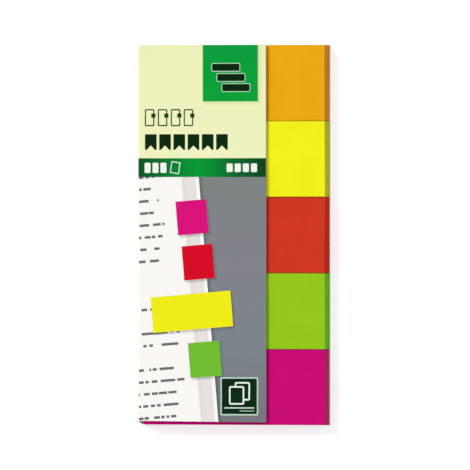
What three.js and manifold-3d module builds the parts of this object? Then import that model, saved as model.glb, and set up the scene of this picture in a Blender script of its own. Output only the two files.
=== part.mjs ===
// A pack of sticky index tabs, modelled lying on its back in millimetres, +Z up.
//
// Five pads of paper markers lie side by side along Y on the back panel of one folded
// card. The last sheet of each pad is stuck to that panel by its own adhesive strip.
// The card turns up round the glued ends of the pads as a spine, and turns again as a
// flap that covers about two thirds of their length, so the free ends stay in view.
//
// The origin is on the underside of the back panel, in the middle of the pack.
// +X runs from the spine to the free ends and +Y from the last pad to the first.

import * as THREE from "three";
import { mergeVertices } from "three/addons/utils/BufferGeometryUtils.js";
import Module from "manifold-3d";

const wasm = await Module();
wasm.setup();

// Paper markers
const sheetLength = 50;
const sheetWidth = 20;
const sheetThickness = 0.11; // paper with its film of adhesive
const sheetsPerPad = 40;
const sheetDrift = 0.06; // furthest that one sheet lies off its place in the pad
const driftSteps = 3; // even steps that the drift is taken in, so no step is a sliver
const sheetBond = 0.01; // how far each sheet beds into the adhesive of the one below
const padGap = 0.2; // between the nominal sides of two pads

// First pad at the top of the pack
const padColours = [
  ["pad_orange", 0xeba90e],
  ["pad_yellow", 0xf1f11b],
  ["pad_red", 0xcd3722],
  ["pad_green", 0x92c919],
  ["pad_magenta", 0xc70778],
];

// Folded card
const cardThickness = 0.4;
const foldRadius = 0.45; // inside radius of each scored fold
const beadRadius = 0.16; // the board that a score raises along the inside of its fold
const endClearance = 1.2; // from the spine to the glued ends of the pads
const flapClearance = 0.2; // from the pads to the flap, at the spine
const flapLift = 0.35; // how much higher the flap's free edge springs up
const flapReach = 35.6; // from the outside of the spine to the free edge
const sideMargin = 0.15; // card past the first pad, and past the last
const freeMargin = 0.15; // back panel past the free ends of the sheets
const foldSegments = 8; // chords in each round of a fold

const padHeight = sheetsPerPad * sheetThickness;
const padPitch = sheetWidth + padGap;
const stackLength = padColours.length * padPitch - padGap;
const cardLength = stackLength + 2 * sideMargin;
const cardWidth = cardThickness + endClearance + sheetLength + freeMargin;
const spineX = -cardWidth / 2;
const padX = spineX + cardThickness + endClearance + sheetLength / 2;
const firstPadY = (stackLength - sheetWidth) / 2;

// A closed solid from a three.js geometry
function solidOf(geometry) {
  const bare = geometry.clone().deleteAttribute("normal").deleteAttribute("uv");
  const merged = mergeVertices(bare, 1e-5);
  return new wasm.Manifold(
    new wasm.Mesh({
      numProp: 3,
      vertProperties: merged.attributes.position.array,
      triVerts: new Uint32Array(merged.index.array),
    }),
  );
}

// A three.js geometry from a closed solid
function geometryOf(solid) {
  const mesh = solid.getMesh();
  const geometry = new THREE.BufferGeometry();
  geometry.setAttribute("position", new THREE.BufferAttribute(mesh.vertProperties, 3));
  geometry.setIndex(new THREE.BufferAttribute(mesh.triVerts, 1));
  const faceted = geometry.toNonIndexed();
  faceted.computeVertexNormals();
  return faceted;
}

// How far a sheet lies off its place along X and Y. Waves of unrelated lengths never
// repeat within a pad, and each pad starts them at a phase of its own.
function driftOf(sheet, pad) {
  const along = Math.sin(2.4 * sheet + 1.7 * pad) * Math.cos(0.31 * sheet + pad);
  const across = Math.sin(3.7 * sheet + 0.9 * pad) * Math.cos(0.43 * sheet + 2 * pad);
  const steps = new THREE.Vector2(along, across).multiplyScalar(driftSteps).round();
  return steps.multiplyScalar(sheetDrift / driftSteps);
}

// One pad, standing on z = 0: the sheets are cut to one size and lie flush only to within
// the drift, so every sheet shows as its own fine step on all four sides of the block.
function padGeometry(pad) {
  let stack = null;
  for (let sheet = 0; sheet < sheetsPerPad; sheet++) {
    const drift = driftOf(sheet, pad);
    const bond = sheet === 0 ? 0 : sheetBond;
    const lowest = sheet * sheetThickness - bond;
    const paper = new THREE.BoxGeometry(sheetLength, sheetWidth, sheetThickness + bond);
    paper.translate(drift.x, drift.y, lowest + (sheetThickness + bond) / 2);
    stack = stack ? stack.add(solidOf(paper)) : solidOf(paper);
  }
  return geometryOf(stack);
}

// The card's section in X and Z. Each fold is two concentric arcs, and the inner one
// carries the bead that scoring leaves. The flap leans up by its lift, so the upper fold
// turns by that angle less than a right angle.
function cardSection() {
  const inside = foldRadius;
  const outside = foldRadius + cardThickness;
  const foldX = spineX + outside;
  const lowerZ = outside;
  const upperZ = cardThickness + padHeight + flapClearance - foldRadius;
  const lean = Math.atan2(flapLift, flapReach - outside);
  const openEdgeX = spineX + flapReach;
  const bead = beadRadius / inside; // half the angle that the bead takes on the arc
  const lowerMid = 1.25 * Math.PI;
  const upperMid = 0.75 * Math.PI + lean / 2;

  const section = new THREE.Shape();
  section.moveTo(cardWidth / 2, 0);
  section.lineTo(cardWidth / 2, cardThickness);

  // Inside face: back panel, lower fold, spine, upper fold, flap
  section.lineTo(foldX, cardThickness);
  section.absarc(foldX, lowerZ, inside, 1.5 * Math.PI, lowerMid + bead, true);
  beadOn(section, foldX, lowerZ, lowerMid);
  section.absarc(foldX, lowerZ, inside, lowerMid - bead, Math.PI, true);
  section.absarc(foldX, upperZ, inside, Math.PI, upperMid + bead, true);
  beadOn(section, foldX, upperZ, upperMid);
  section.absarc(foldX, upperZ, inside, upperMid - bead, Math.PI / 2 + lean, true);
  const along = new THREE.Vector2(Math.cos(lean), Math.sin(lean));
  const across = new THREE.Vector2(-along.y, along.x);
  const innerEdge = across.clone().multiplyScalar(inside);
  innerEdge.addScaledVector(along, (openEdgeX - foldX) / along.x);
  section.lineTo(foldX + innerEdge.x, upperZ + innerEdge.y);

  // Outside face: flap, upper fold, spine, lower fold, and the shape closes on the back
  const outerEdge = innerEdge.clone().addScaledVector(across, cardThickness);
  section.lineTo(foldX + outerEdge.x, upperZ + outerEdge.y);
  section.absarc(foldX, upperZ, outside, Math.PI / 2 + lean, Math.PI, false);
  section.absarc(foldX, lowerZ, outside, Math.PI, 1.5 * Math.PI, false);
  return section;
}

// The bead of a fold, as a half round that stands inwards from the middle of its arc
function beadOn(section, foldX, foldZ, angle) {
  const beadX = foldX + foldRadius * Math.cos(angle);
  const beadZ = foldZ + foldRadius * Math.sin(angle);
  section.absarc(beadX, beadZ, beadRadius, angle + Math.PI / 2, angle + 1.5 * Math.PI, false);
}

// The card, as its section drawn out along Y
function cardGeometry() {
  const card = new THREE.ExtrudeGeometry(cardSection(), {
    depth: cardLength,
    bevelEnabled: false,
    curveSegments: foldSegments,
  });
  card.rotateX(Math.PI / 2);
  card.translate(0, cardLength / 2, 0);
  return card;
}

function pieceOf(name, geometry, colour, roughness) {
  const material = new THREE.MeshStandardMaterial({ color: colour, roughness, metalness: 0 });
  const piece = new THREE.Mesh(geometry, material);
  piece.name = name;
  return piece;
}

const pack = new THREE.Group();

pack.add(pieceOf("folded_card", cardGeometry(), 0xeef1ba, 0.45));

padColours.forEach(([name, colour], pad) => {
  const block = pieceOf(name, padGeometry(pad), colour, 0.85);
  block.position.set(padX, firstPadY - pad * padPitch, cardThickness);
  pack.add(block);
});

export default pack;
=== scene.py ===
"""A pack of sticky index tabs: five pads of neon paper markers in a folded, printed card."""

import math

import bpy
import numpy as np
from mathutils import Matrix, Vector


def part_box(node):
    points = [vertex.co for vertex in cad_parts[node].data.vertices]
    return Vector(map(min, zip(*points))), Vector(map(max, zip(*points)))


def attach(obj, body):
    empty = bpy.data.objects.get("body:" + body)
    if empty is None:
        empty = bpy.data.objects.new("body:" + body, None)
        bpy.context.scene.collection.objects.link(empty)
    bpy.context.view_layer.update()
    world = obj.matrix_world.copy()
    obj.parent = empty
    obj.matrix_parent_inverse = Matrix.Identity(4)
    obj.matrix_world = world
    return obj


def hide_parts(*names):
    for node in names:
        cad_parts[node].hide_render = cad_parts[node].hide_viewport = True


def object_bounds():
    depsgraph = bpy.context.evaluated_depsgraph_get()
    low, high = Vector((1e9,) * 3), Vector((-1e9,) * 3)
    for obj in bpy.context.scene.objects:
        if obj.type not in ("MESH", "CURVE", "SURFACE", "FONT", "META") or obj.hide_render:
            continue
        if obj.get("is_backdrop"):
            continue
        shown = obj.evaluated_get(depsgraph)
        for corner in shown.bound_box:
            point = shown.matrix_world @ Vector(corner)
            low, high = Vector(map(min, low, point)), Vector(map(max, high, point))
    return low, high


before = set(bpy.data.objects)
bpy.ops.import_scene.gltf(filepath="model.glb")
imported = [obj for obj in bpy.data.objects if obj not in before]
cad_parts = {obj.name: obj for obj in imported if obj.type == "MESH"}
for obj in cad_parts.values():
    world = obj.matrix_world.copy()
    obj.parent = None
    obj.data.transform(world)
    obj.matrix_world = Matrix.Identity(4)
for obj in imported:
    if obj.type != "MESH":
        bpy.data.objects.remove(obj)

cad_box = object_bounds()

# Pads of markers
# A pad is forty sheets of neon paper, stuck one on the other by a strip of adhesive at
# their spine ends and trimmed together, and its lowest sheet is stuck to the card. Each
# sheet lies a hair off the one below, and the upper ones lift towards their free ends.

MM = 0.001
SHEETS = 40
SHEET_LENGTH = 50.0
SHEET_WIDTH = 20.0
SHEET_PITCH = 0.11
PAPER_THICKNESS = 0.102  # the rest of the pitch is adhesive
SHEET_DRIFT = 0.07  # furthest that a sheet lies off its place
SHEET_TURN = 0.0005  # furthest that it is turned, in radians
LIFT_START = 0.52  # share of the length past which a sheet may lift
LIFT_FALL = 5  # power by which the lift dies away from the top sheet down
FINE_GRID = (49, 21)  # points along and across the top sheet of a pad
COARSE_GRID = (15, 5)  # the same for the sheets below it
STEPS_PER_MM = 1e4  # points that fall on the same step are one point
SHARP_FOLD = math.radians(35)  # faces that meet at more than this keep a sharp edge
NOISE = (0.3, 0.7)  # nearly all of a noise's values lie between these

# Node, colour, face, cut edge, the top sheet's lift, and its skew, which is the share by
# which the corner towards +Y lifts more, or less where it is below zero
PADS = [
    ("pad_orange", "orange", "EBA90E", "F8A048", 0.22, 0.5),
    ("pad_yellow", "yellow", "F2F21B", "D9CD42", 0.40, 0.7),
    ("pad_red", "red", "CE3722", "FA3D32", 0.25, -0.4),
    ("pad_green", "green", "93C919", "82E63C", 0.30, 0.3),
    ("pad_magenta", "magenta", "C90676", "E2457F", 0.20, -0.6),
]


def linear(hex_colour):
    """An sRGB colour such as EBA90E as the linear RGBA that Blender works in."""
    parts = [int(hex_colour[i : i + 2], 16) / 255 for i in (0, 2, 4)]
    return [p / 12.92 if p <= 0.04045 else ((p + 0.055) / 1.055) ** 2.4 for p in parts] + [1.0]


def node(tree, kind, inputs=(), output=0, **settings):
    """Add a node with its settings, feed its inputs with values or with other outputs, and
    return an output. The inputs are a list in the node's order, or a dict."""
    new = tree.nodes.new("ShaderNode" + kind)
    for key, value in settings.items():
        setattr(new, key, value)
    for socket, value in inputs.items() if isinstance(inputs, dict) else enumerate(inputs):
        if isinstance(value, bpy.types.NodeSocket):
            tree.links.new(value, new.inputs[socket])
        else:
            new.inputs[socket].default_value = value
    return new.outputs[output]


def new_material(name, level):
    """A material with a shader on its output: itself, its tree, its shader, its place. The
    level scales the shine that the refractive index gives."""
    material = bpy.data.materials.new(name)
    material.use_nodes = True
    tree = material.node_tree
    shader = tree.nodes["Principled BSDF"]
    shader.inputs["IOR"].default_value = 1.5
    shader.inputs["Specular IOR Level"].default_value = level
    place = node(tree, "TexCoord", output="Object")
    return material, tree, shader, place


def dyed(tree, shader, hex_colour, tone):
    """Give the shader a colour that a tone makes lighter or darker."""
    dye = node(tree, "VectorMath", {0: linear(hex_colour)[:3], 3: tone}, operation="SCALE")
    tree.links.new(dye, shader.inputs["Base Color"])


def embossed(tree, shader, height, depth, strength):
    """Give the shader a relief: a height from 0 to 1 times a depth in millimetres."""
    inputs = {"Height": height, "Distance": depth * MM, "Strength": strength}
    tree.links.new(node(tree, "Bump", inputs), shader.inputs["Normal"])


def neon_face(colour_name, hex_colour):
    """Uncoated paper, dyed through and calendered: all but matte, with a tooth of 0.2 mm
    and a faint cloudiness of 7 mm in the dye."""
    material, tree, shader, place = new_material(f"Neon {colour_name} paper, face", 0.06)
    cloud = node(tree, "TexNoise", {"Vector": place, "Scale": 1 / (7 * MM), "Detail": 3.0})
    tooth = node(tree, "TexNoise", {"Vector": place, "Scale": 1 / (0.2 * MM), "Detail": 5.0,
                                    "Roughness": 0.62})
    cloud = node(tree, "MapRange", [cloud, *NOISE, 0.97, 1.03])
    fleck = node(tree, "MapRange", [tooth, *NOISE, 0.975, 1.02])
    dyed(tree, shader, hex_colour, node(tree, "Math", [cloud, fleck], operation="MULTIPLY"))
    rough = node(tree, "MapRange", [tooth, *NOISE, 0.78, 0.92])
    tree.links.new(rough, shader.inputs["Roughness"])
    embossed(tree, shader, tooth, 0.012, 0.5)
    return material


def neon_edge(colour_name, hex_colour):
    """The sides that the guillotine cut: soft fibre ends, each sheet of a tone of its own.
    One sheet is too thin to show, so a coarser tone also changes every 0.45 mm."""
    material, tree, shader, place = new_material(f"Neon {colour_name} paper, cut edge", 0.1)
    tones = []
    for layer, run, dark, light in ((SHEET_PITCH, 17, 0.9, 1.06), (0.45, 30, 0.88, 1.07)):
        scale = (1 / (run * MM), 1 / (run * MM), 1 / (layer * MM))
        streaks = node(tree, "Mapping", {"Vector": place, "Scale": scale})
        tone = node(tree, "TexNoise", {"Vector": streaks, "Scale": 1.0, "Detail": 1.0})
        tones.append(node(tree, "MapRange", [tone, *NOISE, dark, light]))
    fibre = node(tree, "TexNoise", {"Vector": place, "Scale": 1 / (0.11 * MM), "Detail": 4.0})
    fleck = node(tree, "MapRange", [fibre, *NOISE, 0.94, 1.04])
    tone = node(tree, "Math", tones, operation="MULTIPLY")
    dyed(tree, shader, hex_colour, node(tree, "Math", [tone, fleck], operation="MULTIPLY"))
    shader.inputs["Roughness"].default_value = 0.95
    embossed(tree, shader, fibre, 0.02, 0.6)
    return material


def mesh_piece(name, patches, materials, replaced):
    """Join grids of points into one closed mesh, and let it stand for a node of the frame.

    A patch is a grid of points in millimetres, the number of its material and, if it is
    printed, a grid of places on the print. Every four neighbours in the grid make a face,
    and points of neighbouring patches that fall on each other become one.
    """
    points, quads, numbers, prints = [], [], [], []
    start = 0
    for grid, material, *printed in patches:
        rows, columns = grid.shape[:2]
        index = start + np.arange(rows * columns).reshape(rows, columns)
        ring = (index[:-1, :-1], index[:-1, 1:], index[1:, 1:], index[1:, :-1])
        quads.append(np.stack(ring, axis=-1).reshape(-1, 4))
        numbers.append(np.full((rows - 1) * (columns - 1), material, np.int32))
        points.append(grid.reshape(-1, 3))
        prints.append((printed[0] if printed else np.zeros_like(grid)).reshape(-1, 3))
        start += rows * columns
    points, prints = np.concatenate(points), np.concatenate(prints)
    quads, numbers = np.concatenate(quads), np.concatenate(numbers)

    steps = np.round(points * STEPS_PER_MM).astype(np.int64)
    _, first, merged = np.unique(steps, axis=0, return_index=True, return_inverse=True)
    mesh = bpy.data.meshes.new(name)
    mesh.from_pydata((points[first] * MM).tolist(), [], merged.reshape(-1)[quads].tolist())
    mesh.polygons.foreach_set("material_index", numbers)
    attribute = mesh.attributes.new("print", "FLOAT_VECTOR", "CORNER")
    attribute.data.foreach_set("vector", prints[quads].astype(np.float32).ravel())
    mesh.polygons.foreach_set("use_smooth", np.ones(len(quads), bool))
    mesh.set_sharp_from_angle(angle=SHARP_FOLD)
    mesh.update()

    piece = bpy.data.objects.new(name, mesh)
    bpy.context.scene.collection.objects.link(piece)
    for material in materials:
        mesh.materials.append(material)
    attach(piece, "root")
    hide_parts(replaced)


def sheet_patches(pad, sheet, corner, lift, skew):
    """One sheet as six grids: its face, its underside and four cut edges. Waves of
    unrelated lengths place and turn it, and each pad starts them at a phase of its own.
    Past the point where the sheet leaves the pad it rises with the square of the distance,
    the higher the nearer it is to the top of the pad, and by the skew more at one corner."""
    columns, rows = FINE_GRID if sheet == SHEETS - 1 else COARSE_GRID
    along, across = np.meshgrid(np.linspace(0, 1, columns), np.linspace(0, 1, rows))
    drift_x = math.sin(2.4 * sheet + 1.7 * pad) * math.cos(0.31 * sheet + pad)
    drift_y = math.sin(3.7 * sheet + 0.9 * pad) * math.cos(0.43 * sheet + 2 * pad)
    turn = SHEET_TURN * math.sin(5.1 * sheet + 2.3 * pad)
    from_glue = along * SHEET_LENGTH
    from_middle = (across - 0.5) * SHEET_WIDTH
    x = corner[0] + from_glue + drift_x * SHEET_DRIFT - turn * from_middle
    y = corner[1] + SHEET_WIDTH / 2 + from_middle + drift_y * SHEET_DRIFT + turn * from_glue
    free = np.clip((along - LIFT_START) / (1 - LIFT_START), 0, 1) ** 2
    share = (sheet / (SHEETS - 1)) ** LIFT_FALL
    rise = lift * share * free * (1 + skew * (2 * across - 1)) / (1 + abs(skew))
    under = np.stack([x, y, corner[2] + sheet * SHEET_PITCH + rise], axis=-1)
    top = under + [0, 0, PAPER_THICKNESS]
    sides = [
        np.stack([under[0], top[0]]),
        np.stack([top[-1], under[-1]]),
        np.stack([top[:, 0], under[:, 0]]),
        np.stack([under[:, -1], top[:, -1]]),
    ]
    return [(top, 0), (under[::-1], 0)] + [(side, 1) for side in sides]


for pad, (cad_node, colour_name, face, edge, lift, skew) in enumerate(PADS):
    low, high = (np.array(corner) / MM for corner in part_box(cad_node))
    corner = (low + high) / 2 - [SHEET_LENGTH / 2, SHEET_WIDTH / 2, 0]
    corner[2] = low[2]
    sheets = [sheet_patches(pad, sheet, corner, lift, skew) for sheet in range(SHEETS)]
    papers = [neon_face(colour_name, face), neon_edge(colour_name, edge)]
    mesh_piece(f"{colour_name}_markers", sum(sheets, []), papers,
               cad_node)

# Printed card
# One piece of 0.4 mm board, coated, printed and varnished on its outside, then cut, scored
# and folded twice: a back panel that the pads are stuck to, a spine, and a flap over the
# glued ends of the pads. A score leaves a bead inside its fold, and the flap springs up.

CARD_LOW, CARD_HIGH = (np.array(corner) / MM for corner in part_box("folded_card"))
CARD_FOOT = CARD_LOW[1] + 0.1  # all but flush with the last pad
CARD_LENGTH = CARD_HIGH[1] - CARD_FOOT
BOARD = 0.4
FOLD_RADIUS = 0.45  # inside
FOLD_BEAD = 0.16
FLAP_REACH = 35.6  # from the outside of the spine to the free edge
FLAP_SHORT = 0.98  # how much of it is cut away at the foot, where the last pad shows
FLAP_SLANT = 0.28  # how much less of it at the free edge, as the cut is a little askew
FLAP_LIFT = 0.35
FLAP_CURL = 1.15  # power by which the lift grows along the flap
FLAP_BOW = 0.28  # share of the lift that the middle of the free edge lacks
EDGE_PROUD = 0.025  # how far a cut edge bulges
PANEL_POINTS, FOLD_POINTS, SPINE_POINTS, FLAP_POINTS = 26, 19, 8, 42  # round the section
CARD_ROWS = 61  # sections from the foot to the head
EDGE_ROWS = 6  # lines of points over the thickness of a cut edge

# Places on the print are millimetres from the outside of the spine and from the top of
# the card, measured round the folds. The field, the band and the picture follow each
# other down the card, and the print ends a little past the lower fold. A box on it is
# its left, top, right and bottom, and one that goes off the card runs to FAR.
FIELD_END = 30.1
BAND_END = 35.1
PRINT_END = -6.6
FAR = 120.0

SQUARE = (18.1, -4.0, 33.4, 15.0)
STRIPS_AT = ((20.7, 5.0), (22.1, 7.7), (23.5, 10.4))
STRIP_SIZE = (7.6, 1.9)
STRIP_RIM = 0.2
BAND = (-FAR, FIELD_END, FAR, BAND_END)
PICTOGRAM = (23.0, 88.3, 33.5, 98.5)
PALE_SHEETS = ((27.2, 89.8, 31.0, 94.3), (25.6, 90.9, 29.4, 95.4))  # the nearer one last

NEAR_BLACK = "052B13"
NEAR_WHITE = "F1F6F1"
THIN_INK = "1F3D10"

# The picture: a page that leans by some degrees about a point on its long edge, and four
# flags on that edge, each as its box from that point and its colour
PAGE_AT = (17.3, 67.6, 0.0)
PAGE_LEAN = 4.8
FLAGS = [
    ((-4.6, -26.4, 3.9, -17.4), "D90E7B"),
    ((-3.9, -14.4, 4.6, -5.3), "D50624"),
    ((-13.6, -1.6, 8.6, 7.9), "F0ED15"),
    ((-4.3, 11.4, 4.4, 20.7), "70BD30"),
]
LINE_PITCH = 3.2  # of the grey lines on the page
LINE_HEIGHT = 0.6
LINE_ENDS = (-12.5, -5.5)  # between these places across the page each line ends
LINES_MISSING = 0.18  # share of the lines that are left out
DASH_SCALE = 0.8  # of the noise that breaks a line into dashes, per millimetre
LINES_APART = 7.3  # on that noise, so that no two lines break alike


def distance_to_shape():
    """Node group for the distance to a rounded rectangle, below zero inside: the length
    of what lies past its straight sides, less the radius of its corners."""
    group = bpy.data.node_groups.new("Distance to a rounded rectangle", "ShaderNodeTree")
    for name, kind in (("Place", "Vector"), ("Centre", "Vector"), ("Half size", "Vector"),
                       ("Turn", "Float"), ("Corner", "Float")):
        group.interface.new_socket(name, in_out="INPUT", socket_type=f"NodeSocket{kind}")
    group.interface.new_socket("Distance", in_out="OUTPUT", socket_type="NodeSocketFloat")
    given = group.nodes.new("NodeGroupInput").outputs
    moved = node(group, "VectorMath", [given["Place"], given["Centre"]], operation="SUBTRACT")
    turned = node(group, "VectorRotate", {"Vector": moved, "Angle": given["Turn"]},
                  rotation_type="Z_AXIS")
    folded = node(group, "VectorMath", [turned], operation="ABSOLUTE")
    corner = node(group, "CombineXYZ", [given["Corner"]] * 3)
    straight = node(group, "VectorMath", [given["Half size"], corner], operation="SUBTRACT")
    past = node(group, "VectorMath", [folded, straight], operation="SUBTRACT")
    flat = node(group, "VectorMath", [past, (1, 1, 0)], operation="MULTIPLY")
    outer = node(group, "VectorMath", [flat, (0, 0, 0)], operation="MAXIMUM")
    outer = node(group, "VectorMath", [outer], "Value", operation="LENGTH")
    past_x = node(group, "SeparateXYZ", [past], "X")
    past_y = node(group, "SeparateXYZ", [past], "Y")
    inner = node(group, "Math", [past_x, past_y], operation="MAXIMUM")
    inner = node(group, "Math", [inner, 0.0], operation="MINIMUM")
    distance = node(group, "Math", [outer, inner], operation="ADD")
    distance = node(group, "Math", [distance, given["Corner"]], operation="SUBTRACT")
    group.links.new(distance, group.nodes.new("NodeGroupOutput").inputs["Distance"])
    return group


SHAPE_DISTANCE = distance_to_shape()


def shape(tree, where, box, turn=0.0, corner=0.0, soft=0.035, stroke=None):
    """Mask of a rounded rectangle, which fades out over twice the softness. It is turned
    about its middle by degrees clockwise. With a stroke it is an outline of that width."""
    left, top, right, bottom = box
    distance = node(tree, "Group", {
        "Place": where,
        "Centre": ((left + right) / 2, (top + bottom) / 2, 0.0),
        "Half size": ((right - left) / 2, (bottom - top) / 2, 1.0),
        "Turn": math.radians(-turn),
        "Corner": corner,
    }, node_tree=SHAPE_DISTANCE)
    if stroke:
        distance = node(tree, "Math", [distance], operation="ABSOLUTE")
        distance = node(tree, "Math", [distance, stroke / 2], operation="SUBTRACT")
    return node(tree, "MapRange", [distance, -soft, soft, 1.0, 0.0])


def in_row(tree, where, start, pitch, count):
    """Places that begin again at every step of a row, for one shape printed often."""
    across = node(tree, "SeparateXYZ", [where], "X")
    down = node(tree, "SeparateXYZ", [where], "Y")
    beyond = node(tree, "Math", [across, start], operation="SUBTRACT")
    step = node(tree, "Math", [beyond, pitch], operation="DIVIDE")
    step = node(tree, "Math", [step], operation="FLOOR")
    step = node(tree, "Math", [step, 0.0], operation="MAXIMUM")
    step = node(tree, "Math", [step, count - 1.0], operation="MINIMUM")
    passed = node(tree, "Math", [step, pitch], operation="MULTIPLY")
    local = node(tree, "Math", [beyond, passed], operation="SUBTRACT")
    return node(tree, "CombineXYZ", [local, down])


def tinted(tree, value, low, high, stops):
    """Ink that changes from stop to stop as a value goes from low to high."""
    share = node(tree, "MapRange", [value, low, high, 0.0, 1.0])
    ink = node(tree, "ValToRGB", [share])
    elements = ink.node.color_ramp.elements
    while len(elements) < len(stops):
        elements.new(0.5)
    for element, (position, hex_colour) in zip(elements, stops):
        element.position = position
        element.color = linear(hex_colour)
    return ink


def inked(tree, colour, mask, ink):
    """Print a mask in an ink, a hex colour or a tint, over the colours so far."""
    ink = linear(ink) if isinstance(ink, str) else ink
    return node(tree, "Mix", {0: mask, 6: colour, 7: ink}, 2, data_type="RGBA")


def shaded(tree, colour, where, box, depth, soft, ink="3A4038"):
    """Print the soft shadow of a box."""
    mask = shape(tree, where, box, corner=soft, soft=soft)
    return inked(tree, colour, node(tree, "Math", [mask, depth], operation="MULTIPLY"), ink)


def page_lines(tree, where, page_place):
    """Plain grey lines, one below the other down the page. Each ends at its own distance
    from the page's edge, some are left out, and noise breaks them into dashes."""
    across = node(tree, "SeparateXYZ", [page_place], "X")
    down = node(tree, "SeparateXYZ", [page_place], "Y")
    row = node(tree, "Math", [down, LINE_PITCH], operation="DIVIDE")
    number = node(tree, "Math", [row], operation="FLOOR")
    own = node(tree, "TexWhiteNoise", {"W": number}, noise_dimensions="1D")
    from_middle = node(tree, "Math", [row, number], operation="SUBTRACT")
    from_middle = node(tree, "Math", [from_middle, 0.5], operation="SUBTRACT")
    from_middle = node(tree, "Math", [from_middle], operation="ABSOLUTE")
    half = LINE_HEIGHT / LINE_PITCH / 2
    mask = node(tree, "MapRange", [from_middle, half, half * 1.3, 1.0, 0.0])
    end = node(tree, "MapRange", [own, 0.0, 1.0, *LINE_ENDS])
    beyond = node(tree, "Math", [across, end], operation="SUBTRACT")
    length = node(tree, "MapRange", [beyond, -0.05, 0.05, 1.0, 0.0])
    kept = node(tree, "Math", [own, LINES_MISSING], operation="GREATER_THAN")
    apart = node(tree, "Math", [number, LINES_APART], operation="MULTIPLY")
    apart = node(tree, "CombineXYZ", [across, apart])
    dash = node(tree, "TexNoise", {"Vector": apart, "Scale": DASH_SCALE, "Detail": 0.0},
                noise_dimensions="2D")
    dash = node(tree, "MapRange", [dash, 0.4, 0.42, 0.0, 1.0])
    on_flap = node(tree, "SeparateXYZ", [where], "X")
    on_flap = node(tree, "MapRange", [on_flap, 0.1, 0.3, 0.0, 1.0])
    for part in (length, kept, dash, on_flap):
        mask = node(tree, "Math", [mask, part], operation="MULTIPLY")
    return mask


def printed_field(tree, where, down):
    """The pale field: a green square that hangs from its top edge with three stepped dark
    strips in it, a row of thin pages, and a row of bold ribbon ends."""
    colour = tinted(tree, down, 0, FIELD_END, [(0, "EEF1B9"), (1, "EFF3C0")])
    left, top, right, bottom = SQUARE
    shadow = (left + 0.4, top, right + 0.5, bottom + 0.45)
    colour = shaded(tree, colour, where, shadow, 0.32, 0.7, "8A9868")
    green = tinted(tree, down, 0, bottom, [(0, "0A9A40"), (0.5, "029F38"), (1, "05A13A")])
    colour = inked(tree, colour, shape(tree, where, SQUARE), green)
    for start in np.array(STRIPS_AT):
        for rim, ink in ((STRIP_RIM, "B4DDBE"), (0.0, "06240F")):
            strip = (*(start - rim), *(start + STRIP_SIZE + rim))
            colour = inked(tree, colour, shape(tree, where, strip, corner=0.3 + rim), ink)

    pages = in_row(tree, where, 2.0, 3.6, 4)
    outline = shape(tree, pages, (0.18, 17.2, 2.5, 21.4), corner=0.15, stroke=0.34)
    colour = inked(tree, colour, outline, THIN_INK)
    colour = inked(tree, colour, shape(tree, pages, (1.8, 18.2, 3.0, 19.3)), THIN_INK)
    ribbons = in_row(tree, where, 2.05, 3.95, 6)
    ribbon = shape(tree, ribbons, (0, 23.7, 3.25, 27.9), corner=0.2)
    notch = shape(tree, ribbons, (0.7, 27.1, 2.55, 28.95), turn=45)
    whole = node(tree, "Math", [1.0, notch], operation="SUBTRACT")
    ribbon = node(tree, "Math", [ribbon, whole], operation="MULTIPLY")
    return inked(tree, colour, ribbon, "08290E")


def printed_band(tree, colour, where, across):
    """The green band, lightest left of its middle, with small white marks."""
    green = tinted(tree, across, 0, FLAP_REACH, [
        (0, "085022"), (0.24, "057A31"), (0.47, "019A38"), (0.75, "07682C"), (1, "09421C"),
    ])
    colour = inked(tree, colour, shape(tree, where, BAND), green)
    sheets = in_row(tree, where, 1.95, 2.2, 3)
    sheet = shape(tree, sheets, (0, 31.3, 1.65, 34.0), corner=0.3)
    colour = inked(tree, colour, sheet, "F2F8F2")
    loose = shape(tree, where, (9.3, 31.15, 11.6, 34.05), turn=9, stroke=0.26)
    colour = inked(tree, colour, loose, "D8F0DC")
    squares = in_row(tree, where, 24.7, 2.25, 4)
    square = shape(tree, squares, (0, 31.5, 1.7, 33.8), corner=0.3)
    return inked(tree, colour, square, "EEF6EE")


def printed_picture(tree, where, down):
    """The picture: a grey ground, a leaning page with its lines, and flags on its edge."""
    colour = tinted(tree, down, BAND_END, CARD_LENGTH, [
        (0, "7E8484"), (0.35, "82838B"), (0.7, "7D848B"), (1, "75767C"),
    ])
    placed = node(tree, "VectorMath", [where, PAGE_AT], operation="SUBTRACT")
    placed = node(tree, "VectorRotate", {"Vector": placed, "Angle": math.radians(PAGE_LEAN)},
                  rotation_type="Z_AXIS")
    colour = shaded(tree, colour, placed, (-FAR, -FAR, 3.1, FAR), 0.5, 0.5)
    # From the edge inwards: the lit edge of the sheets below, their curl, the page itself
    edge = shape(tree, placed, (-FAR, -FAR, 2.4, FAR))
    colour = inked(tree, colour, edge, "FDFCFA")
    curl = shape(tree, placed, (-FAR, -FAR, 1.5, FAR), soft=0.2)
    colour = inked(tree, colour, curl, "E7E2DD")
    colour = shaded(tree, colour, placed, (-FAR, -FAR, -2.0, FAR), 0.12, 1.2, "8C867E")
    page = shape(tree, placed, (-FAR, -FAR, -2.4, FAR), soft=0.25)
    colour = inked(tree, colour, page, "FAF7F4")
    colour = inked(tree, colour, page_lines(tree, where, placed), "6E6D6B")
    for box, ink in FLAGS:
        shadow = tuple(np.array(box) + [0.45, 0.5, 0.45, 0.6])
        colour = shaded(tree, colour, placed, shadow, 0.4, 0.35)
        colour = inked(tree, colour, shape(tree, placed, box), ink)
    return colour


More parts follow.
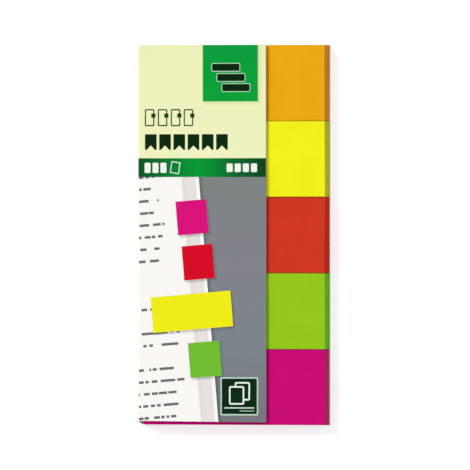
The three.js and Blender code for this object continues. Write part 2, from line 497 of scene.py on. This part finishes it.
def printed_pictogram(tree, colour, where):
    """A dark pictogram with a pale frame: two sheets in outline, the nearer one covering
    part of the other, and two rules below them."""
    left, top, right, bottom = PICTOGRAM
    inside = (left + 0.4, top + 0.4, right - 0.4, bottom - 0.4)
    far_sheet, near_sheet = PALE_SHEETS
    for mask, ink in (
        (shape(tree, where, PICTOGRAM, corner=0.4), "B9D3C3"),
        (shape(tree, where, inside, corner=0.2), NEAR_BLACK),
        (shape(tree, where, far_sheet, corner=0.3, stroke=0.42), NEAR_WHITE),
        (shape(tree, where, (25.4, 90.7, 29.6, 95.6), corner=0.3), NEAR_BLACK),
        (shape(tree, where, near_sheet, corner=0.3, stroke=0.42), NEAR_WHITE),
        (shape(tree, where, (24.1, 96.3, 32.4, 96.65)), "C9DACD"),
        (shape(tree, where, (28.3, 97.15, 32.4, 97.4)), "A9C2B0"),
    ):
        colour = inked(tree, colour, mask, ink)
    return colour


def printed_board():
    """Coated board under a satin varnish: smooth, with a soft shine, over fields of ink."""
    material, tree, shader, place = new_material("Coated board, printed and varnished", 0.06)
    where = node(tree, "Attribute", output="Vector", attribute_name="print")
    across = node(tree, "SeparateXYZ", [where], "X")
    down = node(tree, "SeparateXYZ", [where], "Y")
    colour = printed_field(tree, where, down)
    picture = printed_pictogram(tree, printed_picture(tree, where, down), where)
    below = shape(tree, where, (-FAR, (FIELD_END + BAND_END) / 2, FAR, FAR))
    colour = printed_band(tree, inked(tree, colour, below, picture), where, across)
    bare = shape(tree, where, (-FAR, -FAR, PRINT_END, FAR), soft=0.05)
    colour = inked(tree, colour, bare, "F1EFE8")
    tree.links.new(colour, shader.inputs["Base Color"])
    tooth = node(tree, "TexNoise", {"Vector": place, "Scale": 1 / (0.4 * MM), "Detail": 4.0})
    rough = node(tree, "MapRange", [tooth, *NOISE, 0.23, 0.3])
    tree.links.new(rough, shader.inputs["Roughness"])
    embossed(tree, shader, tooth, 0.008, 0.2)
    return material


def bare_board(name, hex_colour, fibre_size):
    """Board without its coating: a grey-white felt of short fibres, matte."""
    material, tree, shader, place = new_material(name, 0.2)
    fibre = node(tree, "TexNoise", {"Vector": place, "Scale": 1 / (fibre_size * MM),
                                    "Detail": 6.0, "Roughness": 0.7})
    dyed(tree, shader, hex_colour, node(tree, "MapRange", [fibre, *NOISE, 0.92, 1.03]))
    shader.inputs["Roughness"].default_value = 0.9
    embossed(tree, shader, fibre, 0.02, 0.6)
    return material


def card_section():
    """The card's section in X and Z as stations from the free edge of the back panel round
    to that of the flap: a point outside, one inside, how far up the spine it is, and how
    far along the flap, as shares. A fold is two arcs about one centre, and its bead is
    half a circle on the inner arc."""
    outer = FOLD_RADIUS + BOARD
    fold_x = CARD_LOW[0] + outer
    upper_z = CARD_HIGH[2] - FLAP_LIFT - outer
    panel = np.linspace(CARD_HIGH[0], fold_x, PANEL_POINTS)[:-1]
    spine = np.linspace(outer, upper_z, SPINE_POINTS)[1:-1]
    flap = np.linspace(fold_x, CARD_LOW[0] + FLAP_REACH, FLAP_POINTS)[1:]

    def level(x, outside_z, inside_z):
        outside = np.stack([x, np.full_like(x, outside_z)], axis=-1)
        return outside, np.stack([x, np.full_like(x, inside_z)], axis=-1)

    def fold(centre_z, first, last):
        angle = np.linspace(first, last, FOLD_POINTS)
        ray = np.stack([np.cos(angle), np.sin(angle)], axis=-1)
        from_bead = (angle - (first + last) / 2) * FOLD_RADIUS / FOLD_BEAD
        bead = FOLD_BEAD * np.sqrt(np.clip(1 - from_bead**2, 0, 1))
        centre = np.array([fold_x, centre_z])
        return centre + outer * ray, centre + (FOLD_RADIUS - bead)[:, None] * ray

    upright = np.stack([np.full_like(spine, CARD_LOW[0]), spine], axis=-1)
    runs = [
        level(panel, 0.0, BOARD),
        fold(outer, 1.5 * math.pi, math.pi),
        (upright, upright + [BOARD, 0.0]),
        fold(upper_z, math.pi, 0.5 * math.pi),
        level(flap, upper_z + outer, upper_z + FOLD_RADIUS),
    ]
    outside, inside = (np.concatenate(side) for side in zip(*runs))
    up_spine = np.clip((outside[:, 1] - outer) / upper_z, 0, 1)
    on_flap = np.zeros(len(outside))
    on_flap[-len(flap) :] = (flap - fold_x) / (FLAP_REACH - outer)
    return outside, inside, up_spine, on_flap


def card_patches():
    """The section drawn out along Y, with its two free edges and its two ends. Up the
    spine the foot end slants in to that of the flap. The flap's lift grows along the flap,
    and a parabola along Y makes it least in the middle."""
    outside, inside, up_spine, on_flap = card_section()
    along = np.linspace(0, 1, CARD_ROWS)[:, None]
    short = FLAP_SHORT * up_spine - FLAP_SLANT * on_flap
    rows = CARD_FOOT + CARD_LENGTH * along + short * (1 - along)
    bow = 1 - FLAP_BOW * (1 - (2 * along - 1) ** 2)
    rise = FLAP_LIFT * bow * on_flap**FLAP_CURL
    travelled = np.linalg.norm(np.diff(outside, axis=0), axis=1).cumsum()
    across = FLAP_REACH - travelled[-1] + np.concatenate([[0], travelled])

    def drawn(line):
        x = np.broadcast_to(line[:, 0], rows.shape)
        return np.stack([x, rows, line[:, 1] + rise], axis=-1)

    def edge(first, second, outwards):
        """A cut edge between two lines of points, which bulges a little."""
        step = np.linspace(0, 1, EDGE_ROWS)[:, None, None]
        bulge = EDGE_PROUD * np.clip(1 - (2 * step - 1) ** 4, 0, 1)
        return first * (1 - step) + second * step + bulge * np.array(outwards)

    outer, inner = drawn(outside), drawn(inside)
    down = CARD_HIGH[1] - rows
    prints = np.stack([np.broadcast_to(across, rows.shape), down, 0 * down], axis=-1)
    return [
        (outer[:, ::-1], 0, prints[:, ::-1]),
        (inner, 1),
        (edge(outer[:, -1], inner[:, -1], (1, 0, 0)), 2),
        (edge(inner[:, 0], outer[:, 0], (1, 0, 0)), 2),
        (edge(outer[0], inner[0], (0, -1, 0)), 2),
        (edge(inner[-1], outer[-1], (0, 1, 0)), 2),
    ]


boards = [
    printed_board(),
    bare_board("Board, uncoated inside", "E9E7DF", 0.3),
    # The cut edge's grey is partly the board's core and partly painted shade: it is darker
    # than the core to stand for the shadow that the thin edges lie in.
    bare_board("Board, cut edge darkened by painted shade", "B3ADA2", 0.14),
]
mesh_piece("printed_card", card_patches(), boards, "folded_card")

# Table
# A white table top that the pack lies on. It glows only for the camera and in shine and
# glass, which whitens it without lighting the pack, and still takes the pack's shadow.

TABLE_REACH = 10.0
TABLE_DROP = 0.03 * MM  # below the back panel, so that the two don't lie in one plane
TABLE_GLOW = 0.64
TABLE_GREY = (0.55, 0.55, 0.55, 1)

corners = np.array([(-1, -1, 0), (1, -1, 0), (1, 1, 0), (-1, 1, 0)]) * TABLE_REACH
table_mesh = bpy.data.meshes.new("table_top")
table_mesh.from_pydata(corners.tolist(), [], [(0, 1, 2, 3)])
table = bpy.data.objects.new("table_top", table_mesh)
table.location.z = -TABLE_DROP
bpy.context.scene.collection.objects.link(table)
table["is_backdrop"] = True

white = bpy.data.materials.new("White laminate")
white.use_nodes = True
tree = white.node_tree
tree.nodes.clear()
seen = 0.0
for ray in ("Is Camera Ray", "Is Glossy Ray", "Is Transmission Ray"):
    seen = node(tree, "Math", [seen, node(tree, "LightPath", output=ray)], operation="MAXIMUM")
glow = node(tree, "Math", [seen, TABLE_GLOW], operation="MULTIPLY")
glow = node(tree, "Emission", {"Strength": glow})
matte = node(tree, "BsdfDiffuse", {"Color": TABLE_GREY})
surface = node(tree, "AddShader", [matte, glow])
tree.links.new(surface, tree.nodes.new("ShaderNodeOutputMaterial").inputs["Surface"])
table_mesh.materials.append(white)

# Lamps
# A broad lamp from the upper left, a weak one from low on the right, and an even sky. A
# lamp's level is the light that it gives a face turned up, and all of them make about 1.

SKY = 0.47

# Name, the way to it, level, and how wide it looks in degrees
SUNS = [
    ("key", (-0.66, 0.70, 0.95), 0.46, 30),
    ("fill", (0.90, -0.08, 0.30), 0.065, 60),
]


def turned_to(direction, place=(0, 0, 0)):
    """Matrix of an object at a place, whose back points along a direction and whose top
    points as far towards +Y as that lets it."""
    back = np.array(direction) / np.linalg.norm(direction)
    level = np.cross([0.0, 1.0, 0.0], back)
    level /= np.linalg.norm(level)
    matrix = np.eye(4)
    matrix[:3] = np.stack([level, np.cross(back, level), back, place], axis=-1)
    return Matrix(matrix)


for name, direction, level, width in SUNS:
    lamp_data = bpy.data.lights.new(name, "SUN")
    lamp_data.energy = level * math.pi * np.linalg.norm(direction) / direction[2]
    lamp_data.angle = math.radians(width)
    lamp = bpy.data.objects.new(name, lamp_data)
    lamp.matrix_world = turned_to(direction)
    bpy.context.scene.collection.objects.link(lamp)

world = bpy.data.worlds.new("studio")
bpy.context.scene.world = world
world.use_nodes = True
world.node_tree.nodes["Background"].inputs["Color"].default_value = (1, 1, 1, 1)
world.node_tree.nodes["Background"].inputs["Strength"].default_value = SKY

# Camera
# It looks down on the pack from a little to the right, square to its length, from far off
# and with a long lens. So the flap stays a rectangle, its edges level and upright, and a
# narrow strip of the pads' free ends shows beside it.

SIDE_ANGLE = math.radians(16)  # from straight above
DISTANCE = 4.0
FRAME_PIXELS = 470
PIXELS_TO_MM = 3.76
PACK_MIDDLE = (233.6, 235.1)  # in the picture, in pixels from its left and top

frame_width = FRAME_PIXELS / PIXELS_TO_MM * MM
towards = np.array([math.sin(SIDE_ANGLE), 0.0, math.cos(SIDE_ANGLE)])
axes = np.array(turned_to(towards))[:3, :3]
middle = (np.array(cad_box[0]) + np.array(cad_box[1])) / 2
off_centre = (FRAME_PIXELS / 2 - np.array(PACK_MIDDLE)) * [1, -1] / PIXELS_TO_MM * MM
place = middle + towards * DISTANCE + axes[:, :2] @ off_centre
camera_data = bpy.data.cameras.new("camera")
camera_data.lens = camera_data.sensor_width * DISTANCE / frame_width
camera = bpy.data.objects.new("camera", camera_data)
camera.matrix_world = turned_to(towards, place)
bpy.context.scene.collection.objects.link(camera)
bpy.context.scene.camera = camera

bpy.context.scene.view_settings.view_transform = "Standard"

sizes = {"cad": cad_box, "visual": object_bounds()}
sizes = {name: [list(map(float, corner)) for corner in box] for name, box in sizes.items()}
